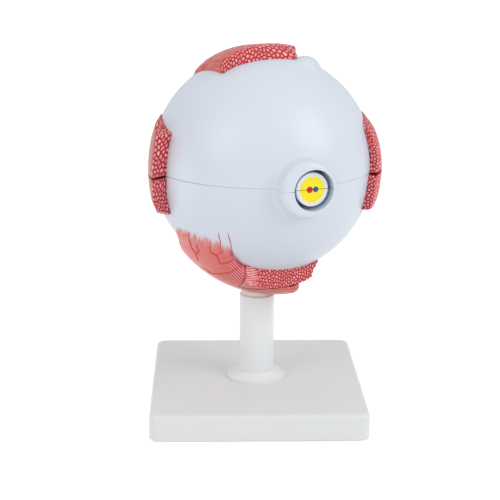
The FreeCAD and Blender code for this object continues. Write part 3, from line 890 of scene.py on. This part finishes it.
def shape_oblique():
    """Smooth muscle with a brushed upper edge, and stripes beside its neighbour."""
    obj = softened(OBLIQUE)
    mesh = obj.data
    local = vertices(mesh)
    refine(mesh, (radial(local) > BALL_R + SKIN) & (local[:, 1] < OBLIQUE_FINE))
    local, normal = vertices(mesh), normals(mesh)
    x, y, z = local.T
    below = (np.interp(x, *OBLIQUE_TOP) - z) / 0.85
    strokes = 1.1 * wandering(x + 0.15 * z, 0.38, 7) + 0.35 * wandering(x + 0.15 * z, 1.3, 8)
    pale = 1 - smoothstep(-0.6, 4.4, below + 3.4 * (strokes - 0.72) * (below < 6))
    streaks = wandering(x + 0.1 * z, 0.36, 12)
    pale = np.maximum(pale, 0.5 * smoothstep(10, 1, below) * smoothstep(0.5, 0.85, streaks))
    pale *= y < OBLIQUE_FRONT
    rise = 0.96 * z + 0.27 * y
    height = radial(local) - BALL_R
    local *= ((BALL_R + height * smoothstep(-0.6, 5.0, below)) / radial(local))[:, None]
    local[:, 0] += LOBE_STRETCH * smoothstep(10, 20, x) * (z < LOBE_TOP)
    corner = np.clip(x - LOBE_END + LOBE_ROUND, 0, LOBE_ROUND)
    shift = LOBE_ROUND - np.sqrt(np.maximum(LOBE_ROUND**2 - corner**2, 0))
    local *= (1 - shift * (z < LOBE_TOP) / BALL_R)[:, None]
    stripes = np.clip(0.9 * waves(x + rise, STRIPE_SPACING) - 0.15, 0, 0.6)
    lobe = np.abs(np.sin(math.pi * rise / LOBE_FIBRES + 0.8 * wandering(x, 3.0, 9)))
    near = smoothstep(-20.5, -16.0, x) * smoothstep(-60, -52, z) * (x < STRIPES_TO) * (y < 0)
    near *= smoothstep(26.0, 18.0, np.abs(z + 43) + 6)
    under = smoothstep(STRIPES_TO - 1, STRIPES_TO + 2, x) * (y < 0)
    cell = np.where(near > 0.02, stripes, np.where(under > 0.1, lobe, 1.0))
    flank = local @ FLANK_TURN > FLANK_FROM
    deep = flank * smoothstep(-36, -40, z) * (z > -52) * smoothstep(2.2, 1.2, height)
    cell = np.where(deep > 0.3, 0.25, cell)
    drop = (1 - np.sqrt(cell)) * np.maximum(near * 0.35, under * 0.22)
    finish_muscle(obj, OBLIQUE, "eyeball_lower", local, normal, drop, {
        "cell": cell, "tint": 0.2 + 0 * x, "cut": np.maximum(near, 0.85 * deep), "pale": pale,
        "lines": 0.8 * under, "side_shade": 0 * x, "calm": 0.65 - 0.35 * under,
        "fibre": np.column_stack((rise - 0.35 * x, x + 0.3 * rise, y))})
    return obj


def paint_vessels(oblique):
    tree = surface_of(oblique)
    for name, directions in VESSELS.items():
        path = [u.normalized() for u in rounded_path(directions)]
        path = [u * (surface_radius(tree, u) - VESSEL_SINK) for u in path]
        radius = THIN_VESSEL_R if name in THIN_VESSELS else VESSEL_R
        tube("vessel_" + name, [path], radius, "eyeball_lower", VESSEL, "artery_red", 0.7, 0.45)


# ---- Tendon of the superior oblique ----
TENDON_RING = 8.5       # radius of the band, and how far it stands out of the ball
TENDON_HEIGHT = 2.8
TENDON_LEAN = math.radians(24.0)
TENDON_TURN = math.radians(-9.0)
TENDON_SOFT = 0.5       # height over which it runs out into the ball
TENDON_START, TENDON_END = -20, 26
TENDON_SIDE = 15
TENDON_SINK = 0.06      # how deep the patch's edge lies in the ball


def tendon_patch():
    """The tendon as a smooth swelling that runs out into the white of the eye."""
    middle = BALL_R + TENDON_HEIGHT - TENDON_RING
    lean = Matrix.Rotation(TENDON_LEAN, 3, "Y")
    axis = lean @ Matrix.Rotation(TENDON_TURN, 3, "Z") @ Vector((1, 0, 0))
    crest = lean @ Vector((0, 0, 1))
    ahead = crest.cross(axis).normalized()
    rows, columns = 70, 56
    tops, bottoms = [], []
    for i in range(rows + 1):
        along = TENDON_START + (TENDON_END - TENDON_START) * i / rows
        fade = float(smoothstep(TENDON_START, -10, along) * smoothstep(TENDON_END, 14, along))
        level = crest * math.cos(along / BALL_R) + ahead * math.sin(along / BALL_R)
        for j in range(columns + 1):
            across = (-TENDON_SIDE + 2 * TENDON_SIDE * j / columns) / BALL_R
            unit = level * math.cos(across) + axis * math.sin(across)
            foot = middle * math.cos(across)
            inside = foot**2 - middle**2 + TENDON_RING**2
            height = foot + math.sqrt(inside) - BALL_R if inside > 0 else -3.0
            soft = TENDON_SOFT * math.log1p(math.exp(height / TENDON_SOFT)) * fade
            tops.append(unit * (BALL_R - TENDON_SINK + soft))
            bottoms.append(unit * (BALL_R - 0.8))
    return grid_solid("tendon_patch", tops, bottoms, rows, columns)


# ---- Lip in the seam ----
SEAM_FLOOR = -0.15      # where the lip stands on the lower half, its top, and its inner radius
LIP_TOP = 0.12
LIP_IN = BALL_R - 0.75
LIP_INSET = 0.12        # how far the lip stays inside the ball's surface
BORE_CLEAR = 11.15      # radius about the nerve's axis that the lip leaves free
LIP_ARCS = {"left": (-44.0, 10.3), "right": (29.1, 64.0)}


def seam_lip(name, first, last):
    """Low lip on the lower half that nearly fills the open line round the nerve."""
    tree = surface_of(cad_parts["sclera_lower"])
    columns = 150
    tops, bottoms = [], []
    for i in range(columns + 1):
        degrees = first + (last - first) * i / columns
        unit = Vector(direction(degrees))
        out = surface_radius(tree, unit, SEAM_FLOOR - 0.08) - LIP_INSET
        fade = float(smoothstep(-42, -24, degrees) * smoothstep(64, 58, degrees))
        inner = max(LIP_IN, BORE_CLEAR / math.sin(unit.angle(NERVE_AXIS)))
        outer = max(inner + 0.05, inner + (out - inner) * fade)
        for radius in (inner, 0.5 * (inner + outer), outer):
            tops.append(unit * radius + Vector((0, 0, LIP_TOP)))
            bottoms.append(unit * radius + Vector((0, 0, SEAM_FLOOR)))
    obj = grid_solid("seam_lip_" + name, tops, bottoms, columns, 2)
    dress(obj, "eyeball_lower", SCLERA, "sclera_white")


# ---- Iris ----
IRIS_FRONT = 42.9
IRIS_BACK = 41.5
IRIS_OUT = 34.4
PUPIL = 10.0
IRIS_RELIEF = 0.85      # highest fold above the iris's middle face, and deepest dip below it
IRIS_DIP = 0.4
RUFF_AT = 0.26          # place of the ruff, as a share of the way out
RUFF_WIDTH = 0.045


def shape_iris(half):
    """Half ring with radial folds, a ruff round the pupil and shallow outer furrows."""
    rows, columns = 60, 420
    first = 0.0 if half == "upper" else math.pi
    radius = np.linspace(PUPIL, IRIS_OUT, rows + 1)[:, None]
    angle = first + np.linspace(0, math.pi, columns + 1)[None, :]
    share = (radius - PUPIL) / (IRIS_OUT - PUPIL) + 0 * angle
    turns = angle + 0.05 * np.sin(9 * share + 3 * angle)
    folds = 0.5 + 0.25 * np.sin(47 * turns) + 0.15 * np.sin(83 * turns + 5 * share)
    folds += 0.10 * np.sin(131 * turns - 7 * share)
    ruff_at = RUFF_AT + 0.025 * np.sin(13 * angle) + 0.015 * np.sin(29 * angle)
    ruff = np.exp(-((share - ruff_at) / RUFF_WIDTH)**2)
    furrows = 0.5 + 0.5 * np.sin(34 * share + 1.2 * np.sin(5 * angle))
    height = 0.42 * folds * smoothstep(0.0, 0.08, share) * smoothstep(1.0, 0.85, share)
    height += 0.40 * ruff - 0.10 * furrows * smoothstep(0.55, 0.75, share)
    height -= 0.35 * smoothstep(0.06, 0.0, share)
    y = IRIS_FRONT - IRIS_RELIEF + np.clip(height, -IRIS_DIP, IRIS_RELIEF)
    x, z = radius * np.cos(angle), radius * np.sin(angle)
    tops = np.dstack((x, y, z)).reshape(-1, 3)
    bottoms = np.dstack((x, IRIS_BACK + 0 * y, z)).reshape(-1, 3)
    obj = grid_solid("iris_folds_" + half, tops, bottoms, rows, columns)
    ridge = np.clip(folds + 0.5 * ruff, 0, 1).ravel()
    add_attribute(obj.data, "ridge", np.concatenate((ridge, 0 * ridge)))
    add_attribute(obj.data, "ring", np.tile(share.ravel(), 2))
    dress(obj, "choroid_" + half, IRIS, "iris_paint", "iris_" + half)


# ---- Vessels inside ----
VESSEL_STEP = 2.5       # degrees between the points of a vessel
TWIG_TURN = 38          # degrees between a vessel and its side branch
RETINA_EDGE_Y = 26.5    # the vessels of the retina end here, and those of the choroid there
CHOROID_EDGE_Y = 40
RETINA_VESSEL_R = 0.42
CHOROID_VESSEL_R = 0.5
HEAD_TURN = math.radians(7.9)   # from the nerve's axis to the start of the retina's vessels
ROOT_TURN = 0.3                 # and of the choroid's
ROOT_CLEAR = math.radians(13)
VEIN_SHIFT = 13.0               # degrees from the retina's arteries to its veins


def grow(start, heading, degrees, bend, rng, keep):
    """Unit vectors along a path that wanders over the ball from a start direction."""
    path = [start.copy()]
    ahead = (heading - start * heading.dot(start)).normalized()
    at = start.copy()
    step = math.radians(VESSEL_STEP)
    for _ in range(int(degrees / VESSEL_STEP)):
        swing = math.radians(bend + rng.normal(0, 3.0))
        ahead = Matrix.Rotation(swing, 3, at) @ ahead
        at, ahead = (at * math.cos(step) + ahead * math.sin(step),
                     ahead * math.cos(step) - at * math.sin(step))
        if not keep(at):
            break
        path.append(at.copy())
    return path


def branching(start, heading, degrees, bend, rng, keep):
    """A path and the side branches that leave it."""
    main = grow(start, heading, degrees, bend, rng, keep)
    paths = [main]
    for i in range(4, len(main) - 3, 4):
        side = 1 if rng.random() < 0.5 else -1
        ahead = Matrix.Rotation(math.radians(TWIG_TURN * side), 3, main[i]) @ (main[i + 1] - main[i])
        paths.append(grow(main[i], ahead, degrees * rng.uniform(0.25, 0.5), -side, rng, keep))
    return [p for p in paths if len(p) > 3]


def vessel_set(shell, kind, half, paths, radius, level):
    """Tubes at one distance from the ball's centre, red arteries or blue veins."""
    material, slot = (ARTERY, "artery_red") if kind == "artery" else (VEIN, "vein_blue")
    paths = [[u * level for u in path] for path in paths]
    tube(f"{shell}_{kind}_{half}", paths, radius, "choroid_" + half, material, slot, 0.35)


def retina_vessels(half):
    """Vessels that arch from the nerve head over the inside of one half of the retina."""
    sign = 1 if half == "upper" else -1
    rng = np.random.default_rng(11 + sign)

    def keep(u):
        return sign * u.z * RETINA_IN > 0.7 and u.y * RETINA_IN < RETINA_EDGE_Y

    nasal = Vector((0, 0, 1)).cross(NERVE_AXIS)
    # Each arch, in degrees: its bearing at the nerve head, its length and its bend.
    arches = ((112, 120, -1.5 * sign), (84, 125, -0.2), (58, 120, 0.1), (28, 110, 0.2))
    for kind, shift in (("artery", 0.0), ("vein", VEIN_SHIFT)):
        paths = []
        for bearing, length, bend in arches:
            turn = math.radians(bearing + shift)
            heading = nasal * math.cos(turn) + Vector((0, 0, sign)) * math.sin(turn)
            start = NERVE_AXIS * math.cos(HEAD_TURN) + heading * math.sin(HEAD_TURN)
            paths += branching(start, heading, length, bend, rng, keep)
        vessel_set("retina", kind, half, paths, RETINA_VESSEL_R, RETINA_IN + 0.08)


def choroid_vessels(half):
    """Vessels that spread over the outside of one half of the choroid."""
    sign = 1 if half == "upper" else -1
    rng = np.random.default_rng(31 + sign)

    def keep(u):
        return (sign * u.z * CHOROID_R > 1.0 and u.y * CHOROID_R < CHOROID_EDGE_Y
                and u.angle(NERVE_AXIS) > ROOT_CLEAR)

    groups = {"artery": [], "vein": []}
    for i in range(7):
        turn = math.radians(14 + 152 * i / 6)
        side = Vector((math.cos(turn), 0, sign * math.sin(turn)))
        start = (NERVE_AXIS * math.cos(ROOT_TURN) + side * math.sin(ROOT_TURN)).normalized()
        groups["artery" if i % 2 else "vein"] += branching(start, side, 105, 0.0, rng, keep)
    for kind, paths in groups.items():
        vessel_set("choroid", kind, half, paths, CHOROID_VESSEL_R, CHOROID_R - 0.2)


# ---- Floor and light ----
FLOOR_HALF = 3
FLOOR_GLOW = 0.45
WORLD_LIGHT = 0.73
EYE = Vector((0.002, 0, 0.14))


def make_floor():
    """White floor: its own light shows to the camera and in gloss, and shadows stay on it."""
    corners = [(x * FLOOR_HALF, y * FLOOR_HALF, 0) for x, y in ((-1, -1), (1, -1), (1, 1), (-1, 1))]
    mesh = bpy.data.meshes.new("floor")
    mesh.from_pydata(corners, [], [(0, 1, 2, 3)])
    floor = add("floor", mesh)
    shader = Shader("floor", 0.9, Base_Color=rgb(245, 245, 246), Emission_Color=WHITE)
    path = shader.node("LightPath")
    seen = shader.math("MAXIMUM", path.outputs["Is Camera Ray"], path.outputs["Is Glossy Ray"])
    seen = shader.math("MAXIMUM", seen, path.outputs["Is Transmission Ray"])
    shader.put(shader.main["Emission Strength"], shader.math("MULTIPLY", seen, FLOOR_GLOW))
    floor.data.materials.append(shader.material)


def make_world():
    """Even light, white for the camera and through clear pieces."""
    scene.world = bpy.data.worlds.new("world")
    world = Nodes(scene.world)
    path = world.node("LightPath")
    seen = world.math("MAXIMUM", path.outputs["Is Camera Ray"], path.outputs["Is Transmission Ray"])
    background = world.tree.nodes["Background"].inputs
    world.put(background["Strength"], world.value(seen, WORLD_LIGHT, 1.0))
    world.put(background["Color"], WHITE)


def lamp(name, place, power):
    data = bpy.data.lights.new(name, "AREA")
    data.shape = "RECTANGLE"
    data.size, data.size_y = 0.7, 0.9
    data.energy = power
    obj = add(name, data)
    obj.location = place
    obj.rotation_euler = (EYE - Vector(place)).to_track_quat("-Z", "Y").to_euler()


make_camera()
scene = bpy.context.scene
scene.view_settings.view_transform = "Standard"

# ---- Materials of the pieces ----
MUSCLE = muscle_material()
IRIS = iris_material()
SCLERA = sclera_material()
POST = grained("post_plastic", (231, 235, 236), (228, 231, 233), 420, 0.30, 0.00002, coat=0.1)
PLASTIC = grained("stand_plastic", (224, 226, 226), (220, 222, 223), 420, 0.30, 0.00002, coat=0.1)
RUBBER = grained("rubber", (44, 44, 45), (34, 34, 35), 900, 0.75, 0.0002)
NYLON = grained("nylon", (231, 230, 229), (224, 223, 222), 500, 0.42, 0.00004)
SHEATH = grained("sheath", (236, 238, 241), (222, 226, 231), 700, 0.35, 0.00008)
NERVE = grained("nerve", (252, 238, 6), (246, 222, 4), 900, 0.45, 0.0001)
ARTERY = grained("artery", (222, 8, 18), (190, 6, 14), 900, 0.42, 0.0001)
VESSEL = grained("vessel", (224, 14, 14), (200, 10, 12), 900, 0.6, 0.0001)
VEIN = grained("vein", (50, 92, 148), (38, 76, 130), 900, 0.42, 0.0001)
STEEL = grained("steel", (196, 198, 200), (176, 178, 181), 700, 0.30, 0.00003, metallic=1.0)
# Without the half in their names. The spigot and the bush are nylon.
PIECES = {
    "base_plate": PLASTIC, "support_post": POST, "post_flange": POST, "base_pad": RUBBER,
    "post_washer": STEEL, "post_screw": STEEL, "locating_pins": STEEL, "sclera": SCLERA,
    "nerve_sheath": SHEATH, "nerve_core": NERVE, "retinal_artery": ARTERY, "retinal_vein": VEIN,
    "choroid": choroid_material(), "retina": retina_material(), "ciliary_body": ciliary_material(),
    "cornea": clear("cornea", (232, 242, 246), 1.40, 0.02, 0.35),
    "vitreous_body": clear("vitreous", (238, 246, 250), 1.20, 0.03, 0.2),
    "lens": clear("lens", (250, 248, 236), 1.40, 0.05, 0.1),
}
for name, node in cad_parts.items():
    piece = name.removesuffix("_upper").removesuffix("_lower")
    node.data.materials.clear()
    node.data.materials.append(PIECES.get(piece, NYLON))

# ---- Pieces ----
for half in ("upper", "lower"):
    shape_iris(half)
    retina_vessels(half)
    choroid_vessels(half)
STUBS = (LateralUpper, LateralLower, MedialUpper, MedialLower, Superior, Inferior)
for seed, make_stub in enumerate(STUBS, FIRST_SEED):
    make_stub(seed)
paint_vessels(shape_oblique())
dress(tendon_patch(), "eyeball_upper", SCLERA, "tendon_white", "superior_oblique_tendon")
for name, arc in LIP_ARCS.items():
    seam_lip(name, *arc)

make_floor()
make_world()
lamp("left", (-0.85, -0.80, 0.85), 3.5)
lamp("right", (0.95, -0.60, 0.90), 5.3)
